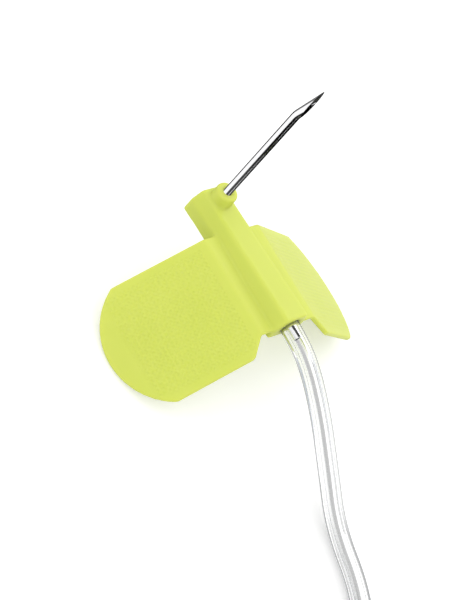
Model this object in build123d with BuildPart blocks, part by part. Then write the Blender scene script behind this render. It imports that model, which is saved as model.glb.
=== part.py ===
from build123d import *
from math import cos, pi, radians, sin
import os

# Right-angle port needle with folding wings, in millimetres.
# It stands on the tips of its folded wings with the needle up (+Z) and the tube leaving along +X.
# The extension tube comes down to the surface, is wound into a loose turn and a half, and ends in
# the pinch clamp and the female luer lock. The origin is under the middle of the hub.

# Steel cannula, 20 gauge
cannula_d = 0.9
cannula_bore = 0.6
needle_reach = 19.0  # tip above the head's top face
cannula_bend_r = 2.6  # right-angle bend inside the head, so that the shaft leaves the boss straight
tip_lean = 12.5  # degrees that the last stretch leans towards the tail
tip_bend_r = 3.0
bevel_offset = 0.5  # the point is ground flat, parallel to the shaft and this far from its axis
cannula_stub = 1.5  # how far it runs into the tube behind the hub
cannula_gap = 0.01  # between the cannula and the plastic round it

# Extension tube
tube_d = 2.1
tube_bore = 1.05
socket_depth = 3.0  # of the tube in the hub's tail
bore_spare = 0.3  # the bore runs on this far past the cannula's end
tube_gap = 0.04  # between the tube and the walls of its sockets

# Wings: flat, hinged at the web, folded back from the needle
wing_len = 13.2  # along the body
wing_reach = 14.35  # root to the middle of the rounded end
wing_corner = 10.5  # root to the corners of the rounded end
wing_t = 0.55
wing_droop = 32.5  # degrees below level
wing_corner_r = 0.6
wing_step = 1.75  # how far out the tail edge steps back towards the body

# Web: the thin moulded hinge strips between the body and the wings
root_y = 3.8  # hinge line from the middle
web_t = 0.4
web_len = 11.4

# Body: a bar with sloping upper flanks, deeper at the head and higher at the tail
head_lead = 4.75  # head's front ahead of the wings
body_len = 16.35
body_half = 2.15
top_half_head = 1.35
top_half_tail = 1.45
rise_head = 1.05  # top face above the web
rise_tail = 1.7
drop_head = 2.0  # underside below the web's top
drop_tail = 1.35
shoulder_head = -0.3  # where the flanks start to slope
shoulder_tail = 0.1
body_edge_r = 0.25
axis_rise = 0.1  # tube's and cannula's axis above the web's top

# Boss that holds the needle, on the head
boss_r = 1.2
boss_rise = 2.65
boss_lead = 3.15  # needle's axis ahead of the wings
boss_edge = 0.2  # chamfer round its top
collar_r = 0.65  # shallow ring left round the needle
collar_depth = 0.45

# Coil of the tube
coil_r = 12.0
coil_turns = 1.46
coil_lead_in = 8.5  # straight ends of the coil
coil_lead_out = 7.5
coil_wall_spare = 0.05
coil_edge = 0.6  # chamfer that follows the round tube
tail_run = 18.7  # from the coil to the tail's first turn
lie_gap = 0.01  # the tube lies this far above the surface

# Pinch clamp: one bent strip that the tube runs through
clamp_len = 20.0
clamp_w = 7.0
clamp_wall = 1.5
clamp_base = 2.5  # base strip's middle below the tube's axis
clamp_latch = 4.6  # latch post's top above the axis
clamp_arm = 5.0  # arm's height above the axis where it leaves the bend
clamp_arm_tip = 7.0
clamp_bend_r = 2.0
clamp_hole_gap = 0.7
clamp_hole_run = 2.25  # through the end wall and its inner corner
clamp_shift = 1.5  # towards the luer, clear of the tube's first bend
ridge_half = 1.1  # pinching ridges' half-width at their roots
ridge_clear = 0.2  # between a ridge and the tube while the clamp is open
latch_lip = 1.1

# Female luer lock
luer_len = 17.0
luer_mouth_r = 2.14
luer_entry = 1.5  # straight part of the mouth
luer_taper = 0.03  # radius lost per length past it, the usual 6 per cent cone
luer_depth = 8.0
luer_body_r = 3.05
luer_body_len = 10.5
luer_neck_r = 2.0
luer_lug_r = 3.9
luer_lug_t = 1.0
luer_lug_span = 64.0  # degrees
luer_ribs = 8
luer_rib_r = 3.5
luer_rib_t = 0.9
luer_rib_start = 2.2
luer_rib_len = 6.8
luer_socket = 5.0  # depth of the tube in its rear

# Derived places
droop = radians(wing_droop)
lean = radians(tip_lean)
web_z = wing_reach * sin(droop) + wing_t * cos(droop)
wing_x = (head_lead - wing_len) / 2
head_x = wing_x - head_lead
tail_x = head_x + body_len
axis_z = web_z + axis_rise
boss_x = wing_x - boss_lead
boss_z = web_z + boss_rise
tip_z = web_z + rise_head + needle_reach
# the lean starts where the far wall of the cannula still reaches the ground plane at the tip
lean_len = (bevel_offset + cannula_d / 2 * cos(lean)) / sin(lean)
knee_z = tip_z - lean_len * cos(lean) - cannula_d / 2 * sin(lean)

cannula_route = [
    (tail_x + cannula_stub, 0, axis_z),
    (boss_x, 0, axis_z),
    (boss_x, 0, knee_z),
    (boss_x + (lean_len + 1) * sin(lean), 0, knee_z + (lean_len + 1) * cos(lean)),
]
cannula_radii = [cannula_bend_r, tip_bend_r]

# The tube's route from its socket to the coil: it leaves level, droops and lies down
lie_z = tube_d / 2 + lie_gap
lead_route = [
    (tail_x - socket_depth, 0, axis_z),
    (7.7, 0, 8.27),
    (11.3, 0, 7.88),
    (16.0, -0.25, 5.92),
    (20.95, -0.95, 3.46),
    (26.25, -2.0, lie_z),
    (33.2, -3.6, lie_z),
    (38.5, -7.18, lie_z),
]
coil_dir = (Vector(*lead_route[-1]) - Vector(*lead_route[-2])).normalized()
coil_side = Vector(-coil_dir.Y, coil_dir.X, 0)
coil_start = Vector(*lead_route[-1]) + coil_dir * coil_lead_in
coil_mid = coil_start + coil_side * coil_r
# it ends a diameter above its own start, lying on it
out_dir = coil_dir.rotate(Axis.Z, 360 * coil_turns)
coil_exit = coil_mid + Vector(out_dir.Y, -out_dir.X, 0) * coil_r + Vector(0, 0, tube_d)
coil_top = coil_exit.Z + lie_z
luer_z = luer_rib_r  # the luer lies on its ribs, and the clamp's hole is level with it
tail_turn = Vector(coil_exit.X, coil_exit.Y, luer_z) + out_dir * tail_run
coil_leave = coil_exit + (tail_turn - coil_exit).normalized() * coil_lead_out
# The tail of the tube: off the coil, straight through the clamp, then round into the luer
tail_route = [(*coil_leave,), (*tail_turn,), (30.6, 29.6, luer_z), (20.0, 33.3, luer_z)]


def bend_radii(points, share=0.45):
    # the largest arc that each corner's shorter run has room for
    radii = []
    for before, corner, after in zip(points, points[1:], points[2:]):
        run_in = Vector(*corner) - Vector(*before)
        run_out = Vector(*after) - Vector(*corner)
        half_turn = radians(run_in.get_angle(run_out) / 2)
        radii.append(share * min(run_in.length, run_out.length) * cos(half_turn) / sin(half_turn))
    return radii


def bar_outline(top_half, rise, shoulder, drop):
    # half of the body's section, then the same points mirrored
    side = [(body_half, -drop), (body_half, shoulder), (top_half, rise)]
    return [(y, web_z + z) for y, z in side] + [(-y, web_z + z) for y, z in reversed(side)]


# One moulding: body, head with its boss, hinge webs and wings
with BuildPart() as winged_hub:
    with BuildSketch(Plane.YZ.offset(head_x)):
        Polygon(*bar_outline(top_half_head, rise_head, shoulder_head, drop_head), align=None)
    with BuildSketch(Plane.YZ.offset(tail_x)):
        Polygon(*bar_outline(top_half_tail, rise_tail, shoulder_tail, drop_tail), align=None)
    loft(ruled=True)
    # the underside keeps its sharp mould line
    fillet(winged_hub.edges() - winged_hub.faces().sort_by(Axis.Z)[0].edges(), body_edge_r)
    # boss
    with BuildSketch(Plane.XY.offset(web_z)):
        with Locations((boss_x, 0)):
            Circle(boss_r)
    extrude(amount=boss_rise)
    boss_rim = winged_hub.edges().filter_by(GeomType.CIRCLE).sort_by(Axis.Z)[-1]
    chamfer(boss_rim, boss_edge)
    # webs
    with BuildSketch(Plane.XY.offset(web_z)):
        with Locations((wing_x, 0)):
            Rectangle(web_len, 2 * root_y, align=(Align.MIN, Align.CENTER))
    extrude(amount=-web_t)
    # wings, drawn in their own plane: x along the body, y outwards
    for side in (1, -1):
        wing_plane = Plane(
            origin=(wing_x, side * root_y, web_z),
            x_dir=(1, 0, 0),
            z_dir=(0, side * sin(droop), cos(droop)),
        )
        with BuildSketch(wing_plane) as wing_sketch:
            with BuildLine():
                Polyline((wing_len, side * wing_corner), (wing_len, side * wing_step), (web_len, 0),
                         (0, 0), (0, side * wing_corner))
                ThreePointArc((0, side * wing_corner), (wing_len / 2, side * wing_reach),
                              (wing_len, side * wing_corner))
            make_face()
            outer = wing_sketch.vertices().filter_by(lambda v: abs(v.Y) > wing_step / 2)
            fillet(outer, wing_corner_r)
        extrude(amount=-wing_t)
    # way for the cannula, collar recess round it, and the tube's socket
    with BuildLine():
        cannula_way = FilletPolyline(*cannula_route[:3], radius=cannula_bend_r)
    with BuildSketch(Plane(origin=cannula_way @ 0, z_dir=cannula_way % 0)):
        Circle(cannula_d / 2 + cannula_gap)
    sweep(path=cannula_way, mode=Mode.SUBTRACT)
    with BuildSketch(Plane.XY.offset(boss_z)):
        with Locations((boss_x, 0)):
            Circle(collar_r)
    extrude(amount=-collar_depth, mode=Mode.SUBTRACT)
    with BuildSketch(Plane.YZ.offset(tail_x)):
        with Locations((0, axis_z)):
            Circle(tube_d / 2 + tube_gap)
    extrude(amount=-socket_depth, mode=Mode.SUBTRACT)
winged_hub.part.label = "winged_hub"

# Steel cannula: level in the hub, a right-angle bend, the shaft, and the leaning, ground point
with BuildPart() as cannula:
    with BuildLine():
        cannula_path = FilletPolyline(*cannula_route, radius=cannula_radii)
    with BuildSketch(Plane(origin=cannula_path @ 0, z_dir=cannula_path % 0)):
        Circle(cannula_d / 2)
        Circle(cannula_bore / 2, mode=Mode.SUBTRACT)
    sweep(path=cannula_path)
    with BuildSketch(Plane.XY.offset(knee_z)):
        with Locations((boss_x + bevel_offset, 0)):
            Rectangle(2 * cannula_d, 2 * cannula_d, align=(Align.MIN, Align.CENTER))
    extrude(amount=2 * lean_len, mode=Mode.SUBTRACT)
cannula.part.label = "cannula"


def tube_run(points, name):
    radii = bend_radii(points)
    with BuildPart() as run:
        with BuildLine():
            path = FilletPolyline(*points, radius=radii)
        with BuildSketch(Plane(origin=path @ 0, z_dir=path % 0)):
            Circle(tube_d / 2)
        sweep(path=path)
    print(name, "length", round(path.length, 1), "radii", [round(r, 1) for r in radii],
          "volume over section x length",
          round(run.part.volume / (pi * tube_d**2 / 4 * path.length), 4))
    return run.part, path.length


# The tube is closed but for its mouth, where the cannula's end lies in its bore
lead_solid, lead_length = tube_run(lead_route, "tube_lead")
with BuildPart() as tube_lead:
    add(lead_solid)
    with BuildSketch(Plane.YZ.offset(tail_x - socket_depth)):
        with Locations((0, axis_z)):
            Circle(tube_bore / 2)
    extrude(amount=socket_depth + cannula_stub + bore_spare, mode=Mode.SUBTRACT)
tube_lead.part.label = "tube_lead"

tube_tail, tail_length = tube_run(tail_route, "tube_tail")
tube_tail.label = "tube_tail"
coil_length = coil_lead_in + coil_lead_out + coil_turns * 2 * pi * coil_r
print("tube length", round(lead_length + coil_length + tail_length, 1))

# Coil of the tube: one ring of its outer shape, with the ends that lead in and out
with BuildPart() as tube_coil:
    with BuildSketch(Plane(origin=(coil_mid.X, coil_mid.Y, 0), x_dir=coil_dir, z_dir=-coil_side)):
        with Locations((coil_r, coil_top / 2)):
            ring = Rectangle(tube_d + 2 * coil_wall_spare, coil_top)
        chamfer(ring.vertices(), coil_edge)
    revolve(axis=Axis((coil_mid.X, coil_mid.Y, 0), (0, 0, 1)))
    for end, along, length in ((coil_start, -coil_dir, coil_lead_in),
                               (coil_exit, (coil_leave - coil_exit).normalized(), coil_lead_out)):
        with BuildSketch(Plane(origin=end, z_dir=along)):
            Circle(tube_d / 2)
        extrude(amount=length)
tube_coil.part.label = "tube_coil"

# Pinch clamp, lying on its side: the strip runs from the latch post along the base, round the
# bend and back as the arm
clamp_in, clamp_out = (Vector(*tail_route[i]) for i in (1, 2))
clamp_dir = (clamp_out - clamp_in).normalized()
clamp_mid = (clamp_in + clamp_out) * 0.5 + clamp_dir * clamp_shift
clamp_plane = Plane(origin=(clamp_mid.X, clamp_mid.Y, clamp_w), x_dir=clamp_dir, z_dir=(0, 0, -1))
clamp_end = (clamp_len - clamp_wall) / 2
with BuildPart() as pinch_clamp:
    with BuildSketch(clamp_plane):
        with BuildLine():
            FilletPolyline(
                (-clamp_end, clamp_latch),
                (-clamp_end, -clamp_base),
                (clamp_end, -clamp_base),
                (clamp_end, clamp_arm),
                (-clamp_end + clamp_wall, clamp_arm_tip),
                radius=[clamp_wall, clamp_wall, clamp_bend_r],
            )
        trace(line_width=clamp_wall)
        # latch lip, turned in over the arm's tip when the clamp is pressed shut
        with Locations((-clamp_end - clamp_wall / 2, clamp_latch)):
            Rectangle(clamp_wall / 2 + latch_lip, clamp_wall / 2, align=(Align.MIN, Align.MAX))
        # ridges that pinch the tube
        for side, root in ((-1, clamp_base), (1, (clamp_arm + clamp_arm_tip) / 2)):
            with BuildLine():
                Polyline((-ridge_half, side * root), (0, side * (tube_d / 2 + ridge_clear)),
                         (ridge_half, side * root), close=True)
            make_face()
    extrude(amount=clamp_w)
    # roomy holes in both end walls
    for wall_x in (-clamp_len / 2, clamp_len / 2 - clamp_hole_run):
        wall_face = clamp_plane.from_local_coords((wall_x, 0, clamp_w - luer_z))
        with BuildSketch(Plane(origin=wall_face, z_dir=clamp_dir)):
            Circle(tube_d / 2 + clamp_hole_gap)
        extrude(amount=clamp_hole_run, mode=Mode.SUBTRACT)
pinch_clamp.part.label = "pinch_clamp"

# Female luer lock, turned about the end of the tube
luer_dir = (Vector(*tail_route[-1]) - Vector(*tail_route[-2])).normalized()
luer_rear = Vector(*tail_route[-1]) - luer_dir * luer_socket
luer_plane = Plane(origin=luer_rear, x_dir=luer_dir, z_dir=(0, 0, 1))
luer_mouth = luer_rear + luer_dir * luer_len
neck_len = luer_len - luer_body_len
with BuildPart() as luer_lock:
    with BuildSketch(luer_plane):
        with BuildLine():
            Polyline((0, 0), (luer_len, 0), (luer_len, luer_body_r), (neck_len, luer_body_r),
                     (neck_len - luer_body_r + luer_neck_r, luer_neck_r), (0, luer_neck_r), close=True)
        make_face()
    revolve(axis=Axis(luer_rear, luer_dir))
    # grip ribs along the body
    rib_plane = Plane(origin=luer_mouth - luer_dir * luer_rib_start, x_dir=(0, 0, -1), z_dir=-luer_dir)
    with BuildSketch(rib_plane):
        with PolarLocations(0, luer_ribs):
            Rectangle(luer_rib_r, luer_rib_t, align=(Align.MIN, Align.CENTER))
    extrude(amount=luer_rib_len)
    # two lugs at the mouth that turn into the mating collar's thread
    with BuildSketch(Plane(origin=luer_mouth, x_dir=(-luer_dir.Y, luer_dir.X, 0), z_dir=-luer_dir)):
        with PolarLocations(0, 2, start_angle=-luer_lug_span / 2):
            with BuildLine():
                Line((0, 0), (luer_lug_r, 0))
                CenterArc((0, 0), luer_lug_r, 0, luer_lug_span)
                Line((0, 0), (luer_lug_r * cos(radians(luer_lug_span)),
                              luer_lug_r * sin(radians(luer_lug_span))))
            make_face()
    extrude(amount=luer_lug_t)
    # cone, fluid way and the tube's socket
    with BuildSketch(luer_plane):
        cone_end = luer_mouth_r - luer_taper * (luer_depth - luer_entry)
        with BuildLine():
            Polyline((0, 0), (0, tube_d / 2 + tube_gap), (luer_socket, tube_d / 2 + tube_gap),
                     (luer_socket, tube_bore / 2), (luer_len - luer_depth, tube_bore / 2),
                     (luer_len - luer_depth, cone_end), (luer_len - luer_entry, luer_mouth_r),
                     (luer_len, luer_mouth_r), (luer_len, 0), close=True)
        make_face()
    revolve(axis=Axis(luer_rear, luer_dir), mode=Mode.SUBTRACT)
luer_lock.part.label = "luer_lock"

os.makedirs("parts", exist_ok=True)
export_step(winged_hub.part, "parts/winged_hub.step")
export_step(cannula.part, "parts/cannula.step")
export_step(tube_lead.part, "parts/tube_lead.step")
export_step(tube_coil.part, "parts/tube_coil.step")
export_step(tube_tail, "parts/tube_tail.step")
export_step(pinch_clamp.part, "parts/pinch_clamp.step")
export_step(luer_lock.part, "parts/luer_lock.step")
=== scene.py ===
from math import cos, pi, radians, sin, tan

import bmesh
import bpy
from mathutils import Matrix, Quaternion, Vector


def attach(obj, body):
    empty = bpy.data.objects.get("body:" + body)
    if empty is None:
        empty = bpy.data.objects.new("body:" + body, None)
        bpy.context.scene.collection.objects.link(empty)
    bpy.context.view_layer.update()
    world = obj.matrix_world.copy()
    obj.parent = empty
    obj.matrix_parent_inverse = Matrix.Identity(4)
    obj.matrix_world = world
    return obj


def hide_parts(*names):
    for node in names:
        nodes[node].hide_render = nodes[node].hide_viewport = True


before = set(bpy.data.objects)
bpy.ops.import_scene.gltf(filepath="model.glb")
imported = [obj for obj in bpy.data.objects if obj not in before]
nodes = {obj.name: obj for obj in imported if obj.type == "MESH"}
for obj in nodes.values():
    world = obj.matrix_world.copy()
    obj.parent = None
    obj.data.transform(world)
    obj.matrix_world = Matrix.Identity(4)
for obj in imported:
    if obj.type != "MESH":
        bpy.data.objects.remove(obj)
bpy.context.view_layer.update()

mm = 0.001
white = (1, 1, 1, 1)


# An output socket with arithmetic, so that shader maths reads as an expression
class Wire:
    def __init__(self, kit, socket):
        self.kit, self.socket = kit, socket

    def combine(self, operation, first, second):
        return self.kit.node("ShaderNodeMath", {"operation": operation}, {0: first, 1: second})

    def __add__(self, other):
        return self.combine("ADD", self, other)

    def __radd__(self, other):
        return self.combine("ADD", other, self)

    def __sub__(self, other):
        return self.combine("SUBTRACT", self, other)

    def __rsub__(self, other):
        return self.combine("SUBTRACT", other, self)

    def __mul__(self, other):
        return self.combine("MULTIPLY", self, other)

    def __rmul__(self, other):
        return self.combine("MULTIPLY", other, self)

    def __truediv__(self, other):
        return self.combine("DIVIDE", self, other)


# One material's or the world's nodes
class Shader:
    def __init__(self, owner):
        owner.use_nodes = True
        self.tree = owner.node_tree
        self.tree.nodes.clear()

    def node(self, kind, settings=None, inputs=None, output=0):
        made = self.tree.nodes.new(kind)
        for name, value in (settings or {}).items():
            setattr(made, name, value)
        for name, value in (inputs or {}).items():
            if isinstance(value, Wire):
                self.tree.links.new(value.socket, made.inputs[name])
            else:
                made.inputs[name].default_value = value
        return Wire(self, made.outputs[output])

    def mixColours(self, factor, first, second):
        return self.node("ShaderNodeMix", {"data_type": "RGBA"},
                         {"Factor": factor, 6: first, 7: second}, output=2)

    def wave(self, angle):
        return self.node("ShaderNodeMath", {"operation": "SINE"}, {0: angle})

    def step(self, value, edge, width):
        # 0 below the edge, 1 past it, and smooth between
        return self.node("ShaderNodeMapRange", {"interpolation_type": "SMOOTHSTEP"},
                         {"Value": value, "From Min": edge, "From Max": edge + width})

    def place(self):
        return self.node("ShaderNodeTexCoord", output=3)

    def axes(self):
        split = self.node("ShaderNodeSeparateXYZ", {}, {0: self.place()})
        return [Wire(self, socket) for socket in split.socket.node.outputs]

    def noise(self, scale, detail):
        return self.node("ShaderNodeTexNoise", {},
                         {"Vector": self.place(), "Scale": scale, "Detail": detail})

    def bump(self, height, strength, depth):
        return self.node("ShaderNodeBump", {},
                         {"Height": height, "Strength": strength, "Distance": depth})

    def glow(self, strength):
        return self.node("ShaderNodeEmission", {}, {"Color": white, "Strength": strength})

    def finish(self, surface, kind="ShaderNodeOutputMaterial"):
        out = self.tree.nodes.new(kind)
        self.tree.links.new(surface.socket, out.inputs["Surface"])


def linear(red, green, blue):
    # a colour as the eye reads it, 0 to 255, to the shader's own scale
    channels = [c / 255 for c in (red, green, blue)]
    return (*[c / 12.92 if c <= 0.04045 else ((c + 0.055) / 1.055) ** 2.4 for c in channels], 1)


# Camera: a long lens above and behind the tube's side of the hub
cameraSetup = {
    "spot": Vector((45.45, -119.82, 128.46)) * mm,
    "aim": Vector((2.602, -5.643, 8.174)) * mm,
    "roll": radians(44.18),
    "lens": 105.31,
    "sensor": 36,
    "clipNear": 0.01,
    "clipFar": 20,
}


def makeCamera(setup):
    data = bpy.data.cameras.new("camera")
    data.lens, data.sensor_width = setup["lens"], setup["sensor"]
    data.clip_start, data.clip_end = setup["clipNear"], setup["clipFar"]
    camera = bpy.data.objects.new("camera", data)
    look = (setup["spot"] - setup["aim"]).to_track_quat("Z", "Y")
    camera.location = setup["spot"]
    camera.rotation_euler = (look @ Quaternion((0, 0, 1), setup["roll"])).to_euler()
    bpy.context.collection.objects.link(camera)
    bpy.context.scene.camera = camera


makeCamera(cameraSetup)
print("camera placed")


# The extension tube, from its socket in the hub to the luer. These are the route's own points.
tubeSetup = {
    "outer": 0.0021,
    "bore": 0.00105,
    "start": (0.004375, 0, 0.008274),
    "lead": [(0.0077, 0, 0.00827), (0.0113, 0, 0.00788), (0.016, -0.00025, 0.00592),
             (0.02095, -0.00095, 0.00346), (0.02625, -0.002, 0.00106),
             (0.0332, -0.0036, 0.00106), (0.0385, -0.00718, 0.00106)],
    "coilLeadIn": 0.0085,
    "coilRadius": 0.012,
    "coilTurns": 1.46,
    "coilPoints": 19,
    "tailRun": 0.0187,
    "tail": [(0.0306, 0.0296, 0.0035), (0.02, 0.0333, 0.0035)],
    "exit": (0.007375, 0, 0.008274),
    "sides": 12,
    "steps": 14,
}


def coilRoute(setup):
    before, last = (Vector(p) for p in setup["lead"][-2:])
    along = (last - before).normalized()
    side = Vector((-along.y, along.x, 0))
    start = last + along * setup["coilLeadIn"]
    middle = start + side * setup["coilRadius"]
    half = pi * setup["coilTurns"] / setup["coilPoints"]  # half a step, as an angle
    reach = setup["coilRadius"] / cos(half)
    straight = setup["coilRadius"] * tan(half)
    points = [start - along * straight]
    overlap = setup["coilTurns"] - 1  # share of a turn that lies on the one below
    for i in range(setup["coilPoints"]):
        angle = half * (2 * i + 1)
        turned = angle / (2 * pi)
        rise = min(max((turned - overlap) / (1 - overlap), 0), 1) * setup["outer"]
        points.append(middle + reach * (along * sin(angle) - side * cos(angle)) + Vector((0, 0, rise)))
    angle = 2 * pi * setup["coilTurns"]
    radial = along * sin(angle) - side * cos(angle)
    out = along * cos(angle) + side * sin(angle)
    leave = middle + radial * setup["coilRadius"] + Vector((0, 0, setup["outer"]))
    turn = leave + out * setup["tailRun"]
    turn.z = setup["tail"][0][2]
    points.append(leave + (turn - leave).normalized() * straight)
    points.append(turn)
    return points


def nurbsCurve(name, points, steps):
    data = bpy.data.curves.new(name, "CURVE")
    data.dimensions = "3D"
    spline = data.splines.new("NURBS")
    spline.points.add(len(points) - 1)
    for point, place in zip(spline.points, points):
        point.co = (*place, 1)
    spline.order_u, spline.use_endpoint_u = 3, True
    spline.resolution_u = data.resolution_u = steps
    piece = bpy.data.objects.new(name, data)
    bpy.context.collection.objects.link(piece)
    return piece


def meshFrom(piece):
    # a curve's bevel or a piece's modifiers as a plain mesh
    depsgraph = bpy.context.evaluated_depsgraph_get()
    return bpy.data.meshes.new_from_object(piece.evaluated_get(depsgraph))


def makeTube(setup):
    route = [setup["start"], *setup["lead"], *coilRoute(setup), *setup["tail"]]
    curve = nurbsCurve("tube_route", route, setup["steps"])
    path = [tuple(v.co) for v in meshFrom(curve).vertices]
    curve.data.bevel_depth = setup["outer"] / 2
    curve.data.bevel_resolution = setup["sides"]
    mesh = meshFrom(curve)
    bpy.data.objects.remove(curve)
    tube = bpy.data.objects.new("extension_tube", mesh)
    bpy.context.collection.objects.link(tube)
    for face in mesh.polygons:
        face.use_smooth = True
    wall = tube.modifiers.new("wall", "SOLIDIFY")
    wall.thickness = (setup["outer"] - setup["bore"]) / 2
    wall.offset = -1
    wall.use_even_offset = True
    length = sum((Vector(b) - Vector(a)).length for a, b in zip(path, path[1:]))
    print("tube length", round(length, 4), "points", len(path))
    return tube, path, length


tube, tubePath, tubeLength = makeTube(tubeSetup)
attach(tube, "root")
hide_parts("tube_lead", "tube_coil", "tube_tail")
print("tube laid")


# The hub: the moulding's own form, with its edges softened as they come out of a mould
hubSetup = {
    "weld": 0.001 * mm,
    "grid": 0.13 * mm,
    "softening": 0.5,
    "passes": 5,
    "glueInner": 0.44 * mm,
    "glueOuter": 0.68 * mm,
    "glueFoot": 10.3 * mm,
    "glueTop": 10.78 * mm,
    "glueFall": 0.05 * mm,  # the bead's outer rim is this much lower than its top
    "glueSteps": 32,
    "wingRoot": 3.8 * mm,
    "wingFront": -4.225 * mm,
    "wingLength": 13.2 * mm,
    "wingDroop": radians(32.5),
    "knurlPitch": 0.5 * mm,
    "knurlRim": 0.7 * mm,
    "knurlReach": 12.2 * mm,
    "knurlSoft": 0.3 * mm,
    "needleX": -7.375 * mm,
}


def makeHub(setup):
    shape = bmesh.new()
    shape.from_mesh(nodes["winged_hub"].data)
    bmesh.ops.remove_doubles(shape, verts=shape.verts, dist=setup["weld"])
    # the bead of glue in the boss's recess, round the needle
    middle = Vector((setup["needleX"], 0, 0))
    section = [(setup["glueInner"], setup["glueFoot"]),
               (setup["glueOuter"], setup["glueFoot"]),
               (setup["glueOuter"], setup["glueTop"] - setup["glueFall"]),
               (setup["glueInner"], setup["glueTop"])]
    corners = [shape.verts.new(middle + Vector((reach, 0, height))) for reach, height in section]
    ring = [shape.edges.new((corners[i - 1], corners[i])) for i in range(len(corners))]
    bmesh.ops.spin(shape, geom=[*corners, *ring], cent=middle, axis=(0, 0, 1), angle=2 * pi,
                   steps=setup["glueSteps"], use_merge=True)
    mesh = bpy.data.meshes.new("hub_moulding")
    shape.to_mesh(mesh)
    shape.free()
    hub = bpy.data.objects.new("hub_moulding", mesh)
    bpy.context.collection.objects.link(hub)
    skin = hub.modifiers.new("skin", "REMESH")
    skin.mode, skin.voxel_size, skin.use_smooth_shade = "VOXEL", setup["grid"], True
    soft = hub.modifiers.new("soft", "SMOOTH")
    soft.factor, soft.iterations = setup["softening"], setup["passes"]
    hub.data = meshFrom(hub)
    hub.modifiers.clear()
    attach(hub, "root")
    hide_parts("winged_hub")
    return hub


hub = makeHub(hubSetup)
print("hub moulded,", len(hub.data.polygons), "faces")


# Stage: a pale floor that reads as white, with the object's shadow left on it, under a plain world.
# Gloss and the clear tube see a greyer wall low down in that world.
stageSetup = {
    "floorSize": 4,
    "floorColour": (0.82, 0.82, 0.82, 1),
    "floorLift": 0.4,
    "floorGloss": 0.22,
    "floorClear": 0.44,
    "worldStrength": 1.0,
    "wallFade": 0.18,
    "wallTop": 0.3,
    "wallLevel": 0.7,
    "lampPower": 1.1,
    "lampSize": 0.5,
    "lampSpot": Vector((-0.1, 0.75, 0.55)),
}
# Painted reflection: a dark ring painted on the floor round the needle's foot, seen only by gloss, with
# a pale wedge left open in it as a painted highlight, which the needle mirrors
paintedReflectionSetup = {
    "paintedHighlightFrom": radians(194),
    "paintedHighlightSpan": radians(100),
    "paintedHighlightLevel": 1.1,
    "nearLevel": 0.085,
    "farLevel": 0.005,
    "near": 9.5 * mm,
    "far": 27 * mm,
    "rim": 30 * mm,
    "rimSoft": 25 * mm,
    "greyLevel": 0.3,
    "wedgeSoft": 0.5 * mm,
    "steep": 0.9,  # a ray's length over its distance from the needle's foot
    "steepSoft": 0.1,
}
# Painted reflection: a dark patch high up in the world, seen only through the tube, which the cannula's
# end mirrors so that it reads black
paintedDarkPatchSetup = {
    "from": radians(30),
    "span": radians(80),
    "level": 0.02,
    "soft": 0.05,
}
# Painted shadow: grey strips on the floor, widest first, standing in for the tube's own shadow behind
# it, that show only through the tube as its soft middle band
paintedShadowStripSetup = {
    "thin": 0.01,
    "lift": 0.02 * mm,
    "bands": [(0.3, 0.85), (0.24, 0.68), (0.17, 0.5)],  # half width for each metre above foot, level
    "foot": -0.74 * mm,
}


def rayKinds(kit):
    # 1 for what the camera sees directly, in gloss, and through the clear tube, and the ray's length
    path = kit.node("ShaderNodeLightPath").socket.node.outputs
    camera, glossy, clear = (Wire(kit, path[f"Is {kind} Ray"])
                             for kind in ("Camera", "Glossy", "Transmission"))
    return camera, glossy * (1 - clear), clear, Wire(kit, path["Ray Length"])


def between(kit, across, up, start, span, soft):
    # 1 where the direction (across, up) lies between two angles less than half a turn apart
    end = start + span
    return kit.step(up * cos(start) - across * sin(start), 0, soft) \
        * kit.step(across * sin(end) - up * cos(end), 0, soft)


def stagePiece(name, shape, finish):
    mesh = bpy.data.meshes.new(name)
    shape.to_mesh(mesh)
    shape.free()
    mesh.materials.append(finish)
    piece = bpy.data.objects.new(name, mesh)
    bpy.context.collection.objects.link(piece)
    return piece


def paintedReflectionFloor(kit, length, setup):
    # the painted reflection's level on the floor, and 1 where the ray comes down steeply enough to come
    # from the needle
    x, y = kit.axes()[:2]
    across = x - hubSetup["needleX"]
    away = kit.node("ShaderNodeMath", {"operation": "SQRT"}, {0: across * across + y * y})
    steep = kit.step(length / away, setup["steep"], setup["steepSoft"])
    fade = kit.step(away, setup["near"], setup["far"] - setup["near"])
    dark = setup["nearLevel"] + (setup["farLevel"] - setup["nearLevel"]) * fade
    paintedHighlightWedge = between(kit, across, y, setup["paintedHighlightFrom"], setup["paintedHighlightSpan"], setup["wedgeSoft"])
    beyond = kit.step(away, setup["rim"], setup["rimSoft"])
    level = dark + (setup["greyLevel"] - dark) * beyond
    return level + (setup["paintedHighlightLevel"] - level) * paintedHighlightWedge, steep


def makeFloor(setup, ring):
    paint = bpy.data.materials.new("floorPaint")
    kit = Shader(paint)
    camera, glossy, clear, length = rayKinds(kit)
    matt = kit.node("ShaderNodeBsdfDiffuse", {}, {"Color": setup["floorColour"]})
    lift = camera * setup["floorLift"] + glossy * setup["floorGloss"] + clear * setup["floorClear"]
    lit = kit.node("ShaderNodeAddShader", {}, {0: matt, 1: kit.glow(lift)})
    level, steep = paintedReflectionFloor(kit, length, ring)
    # gloss from the needle sees the painted reflection ring instead of the lit floor
    kit.finish(kit.node("ShaderNodeMixShader", {}, {0: glossy * steep, 1: lit, 2: kit.glow(level)}))
    shape = bmesh.new()
    bmesh.ops.create_grid(shape, x_segments=1, y_segments=1, size=setup["floorSize"] / 2)
    stagePiece("floor", shape, paint)


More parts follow.
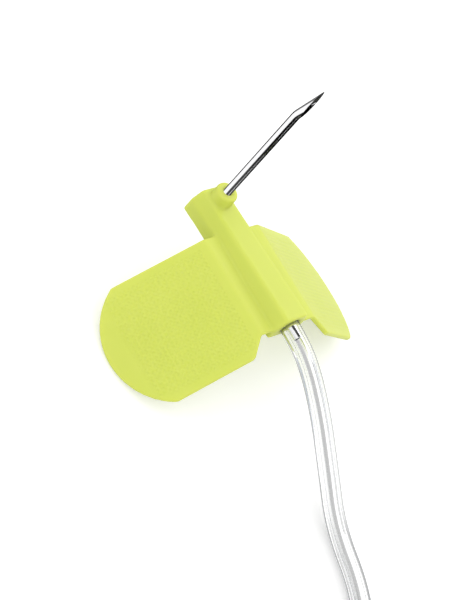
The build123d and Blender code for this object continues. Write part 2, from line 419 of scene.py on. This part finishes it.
def makePaintedShadowStrip(name, points, radii, level, lift, setup):
    curve = nurbsCurve(name, points, tubeSetup["steps"])
    for point, radius in zip(curve.data.splines[0].points, radii):
        point.radius = radius / mm
    curve.data.bevel_depth = mm
    shape = bmesh.new()
    shape.from_mesh(meshFrom(curve))
    bpy.data.objects.remove(curve)
    bmesh.ops.scale(shape, vec=(1, 1, setup["thin"]), verts=shape.verts)
    bmesh.ops.translate(shape, vec=(0, 0, lift), verts=shape.verts)
    paint = bpy.data.materials.new(name)
    kit = Shader(paint)
    kit.finish(kit.glow(level))
    strip = stagePiece(name, shape, paint)
    # the painted shadow strip shows only to rays through the tube
    strip.visible_camera = strip.visible_diffuse = strip.visible_glossy = strip.visible_shadow = False


def makePaintedShadowStrips(setup):
    route = [Vector(p) for p in (tubeSetup["exit"], *tubeSetup["lead"][1:])]
    spot = cameraSetup["spot"]
    behind = []
    for p in route:
        sight = (p - spot) / (spot.z - p.z)  # straight on past the tube, down to the floor
        behind.append(Vector((p.x + sight.x * p.z, p.y + sight.y * p.z, 0)))
    for i, (share, level) in enumerate(setup["bands"]):
        makePaintedShadowStrip(f"painted_shadow_strip_{i + 1}", behind, [share * (p.z - setup["foot"]) for p in route],
                  level, setup["lift"] * (i + 1), setup)


def makeLight(setup, paintedPatch):
    world = bpy.data.worlds.new("studio")
    bpy.context.scene.world = world
    kit = Shader(world)
    glossy, clear = rayKinds(kit)[1:3]
    plain = setup["worldStrength"]
    split = kit.node("ShaderNodeSeparateXYZ", {}, {0: kit.node("ShaderNodeTexCoord")}).socket.node
    across, height = (Wire(kit, socket) for socket in split.outputs[1:])
    wall = kit.node("ShaderNodeMapRange", {"interpolation_type": "SMOOTHSTEP"}, {
        "Value": height, "From Min": setup["wallFade"], "From Max": setup["wallTop"],
        "To Min": setup["wallLevel"], "To Max": plain})
    # painted reflection: the dark patch shows only to rays through the clear tube
    shade = between(kit, across, height, paintedPatch["from"], paintedPatch["span"], paintedPatch["soft"])
    through = wall * (1 - shade * (1 - paintedPatch["level"]))
    strength = plain + (wall - plain) * glossy + (through - plain) * clear
    kit.finish(kit.node("ShaderNodeBackground", {}, {"Color": white, "Strength": strength}),
               "ShaderNodeOutputWorld")
    data = bpy.data.lights.new("soft_lamp", "AREA")
    data.energy, data.size = setup["lampPower"], setup["lampSize"]
    lamp = bpy.data.objects.new("soft_lamp", data)
    lamp.location = setup["lampSpot"]
    lamp.rotation_euler = setup["lampSpot"].to_track_quat("Z", "Y").to_euler()
    bpy.context.collection.objects.link(lamp)
    bpy.context.scene.view_settings.view_transform = "Standard"


makeFloor(stageSetup, paintedReflectionSetup)
makeLight(stageSetup, paintedDarkPatchSetup)
makePaintedShadowStrips(paintedShadowStripSetup)
# the steel mirrors the floor's painted reflection ring and not the hub under it
hub.visible_glossy = False  # the steel mirrors the floor and not the hub under it
print("stage and light set")


# Materials: each has a base colour, a grain in its gloss and, where it is moulded, soft clouds of a
# deeper colour and light that goes a little way in
limeSetup = {
    "colour": linear(217, 227, 98),
    "deepColour": linear(208, 221, 84),
    "rough": 0.4,
    "subsurface": 0.5,
    "scatter": (1, 1, 0.4),
    "depth": 1.0 * mm,
    "grainScale": 900,
    "grainHeight": 0.15,
    "grainRough": 0.08,
    "dotHeight": 0.6,
    "ribHeight": 0.4,
    "bumpDepth": 0.03 * mm,
    "cloudScale": 160,
    "cloudFrom": 0.4,
    "cloudSoft": 0.3,
    "cloudShare": 0.3,
    "knurlHollowShade": 0.08,
}
steelSetup = {"colour": (0.9, 0.9, 0.91, 1), "rough": 0.05, "grainScale": 1500, "grainRough": 0.04}
clearSetup = {
    "colour": (0.985, 0.99, 0.99, 1),
    "edgeShadeColour": (0.2, 0.21, 0.22, 1),
    "edgeShadeFrom": 0.42,
    "edgeShadeSoft": 0.3,
    "ior": 1.5,
    "rough": 0.02,
    "grainScale": 260,
    "grainRough": 0.02,
}
mouldedSetup = {
    "scatter": (1, 1, 1),
    "grainScale": 600,
    "grainRough": 0.08,
    "bumpStrength": 0.1,
    "bumpDepth": 0.05 * mm,
    "cloudScale": 180,
    "cloudFrom": 0.35,
    "cloudSoft": 0.3,
}
clampSetup = {
    **mouldedSetup,
    "colour": linear(226, 228, 226),
    "deepColour": linear(212, 215, 213),
    "rough": 0.35,
    "subsurface": 0.15,
    "depth": 0.6 * mm,
}
luerSetup = {
    **mouldedSetup,
    "colour": linear(208, 218, 226),
    "deepColour": linear(192, 204, 214),
    "rough": 0.22,
    "subsurface": 0.3,
    "depth": 0.8 * mm,
}


def material(name):
    made = bpy.data.materials.new(name)
    return made, Shader(made)


def knurl(kit, form):
    # the fine pattern on the wings: its dots, its ribs, and 1 inside the stretch that carries it
    x, y = kit.axes()[:2]
    across = kit.node("ShaderNodeMath", {"operation": "ABSOLUTE"}, {0: y})
    out = (across - form["wingRoot"]) / cos(form["wingDroop"])  # distance from the hinge, down the wing
    along = x - form["wingFront"]
    turn = 2 * pi / form["knurlPitch"]
    ribs = kit.wave(along * turn)
    dots = ribs * kit.wave(out * turn)
    rim, soft = form["knurlRim"], form["knurlSoft"]
    inside = kit.step(out, rim, soft) * kit.step(form["knurlReach"] - out, 0, soft) \
        * kit.step(along, rim, soft) * kit.step(form["wingLength"] - rim - along, 0, soft)
    return dots, ribs, inside


def moulded(kit, setup, colour, grain, bump):
    kit.finish(kit.node("ShaderNodeBsdfPrincipled", {}, {
        "Base Color": colour, "Roughness": setup["rough"] + grain * setup["grainRough"],
        "Normal": bump, "Subsurface Weight": setup["subsurface"],
        "Subsurface Radius": setup["scatter"], "Subsurface Scale": setup["depth"]}))


def limePlastic(setup, form):
    made, kit = material("limePlastic")
    dots, ribs, inside = knurl(kit, form)
    grain = kit.noise(setup["grainScale"], 3)
    height = inside * (dots * setup["dotHeight"] + ribs * setup["ribHeight"]) \
        + grain * setup["grainHeight"]
    cloud = kit.step(kit.noise(setup["cloudScale"], 2), setup["cloudFrom"], setup["cloudSoft"])
    # the clouds are the plastic's own tone; the knurl's hollows take painted shade in the deeper colour
    cloudAndKnurlShade = cloud * setup["cloudShare"] + inside * (1 - dots - ribs) * setup["knurlHollowShade"]
    colour = kit.mixColours(cloudAndKnurlShade, setup["colour"], setup["deepColour"])
    moulded(kit, setup, colour, grain, kit.bump(height, 1.0, setup["bumpDepth"]))
    return made


def needleSteel(setup):
    made, kit = material("needleSteel")
    grain = kit.noise(setup["grainScale"], 2)
    kit.finish(kit.node("ShaderNodeBsdfPrincipled", {}, {
        "Base Color": setup["colour"], "Metallic": 1.0,
        "Roughness": setup["rough"] + grain * setup["grainRough"]}))
    return made


def clearPlastic(setup):
    made, kit = material("clearPlastic")
    # the wall is thickest to look through along its edges; painted shade there turns the colour grey so
    # that it reads as a thin grey line
    facing = kit.node("ShaderNodeLayerWeight", {}, {"Blend": 0.5}, output=1)
    edge = kit.step(facing, setup["edgeShadeFrom"], setup["edgeShadeSoft"])
    grain = kit.noise(setup["grainScale"], 2)
    kit.finish(kit.node("ShaderNodeBsdfPrincipled", {}, {
        "Base Color": kit.mixColours(edge, setup["colour"], setup["edgeShadeColour"]),
        "Roughness": setup["rough"] + grain * setup["grainRough"],
        "IOR": setup["ior"], "Transmission Weight": 1.0}))
    return made


def plainPlastic(name, setup):
    made, kit = material(name)
    grain = kit.noise(setup["grainScale"], 3)
    cloud = kit.step(kit.noise(setup["cloudScale"], 2), setup["cloudFrom"], setup["cloudSoft"])
    colour = kit.mixColours(cloud, setup["colour"], setup["deepColour"])
    moulded(kit, setup, colour, grain, kit.bump(grain, setup["bumpStrength"], setup["bumpDepth"]))
    return made


def dress(piece, finish):
    slots = piece.data.materials
    if not slots:
        slots.append(finish)
    for i in range(len(slots)):
        slots[i] = finish


dress(hub, limePlastic(limeSetup, hubSetup))
dress(nodes["cannula"], needleSteel(steelSetup))
dress(tube, clearPlastic(clearSetup))
dress(nodes["pinch_clamp"], plainPlastic("clampPlastic", clampSetup))
dress(nodes["luer_lock"], plainPlastic("luerPlastic", luerSetup))
print("materials set")
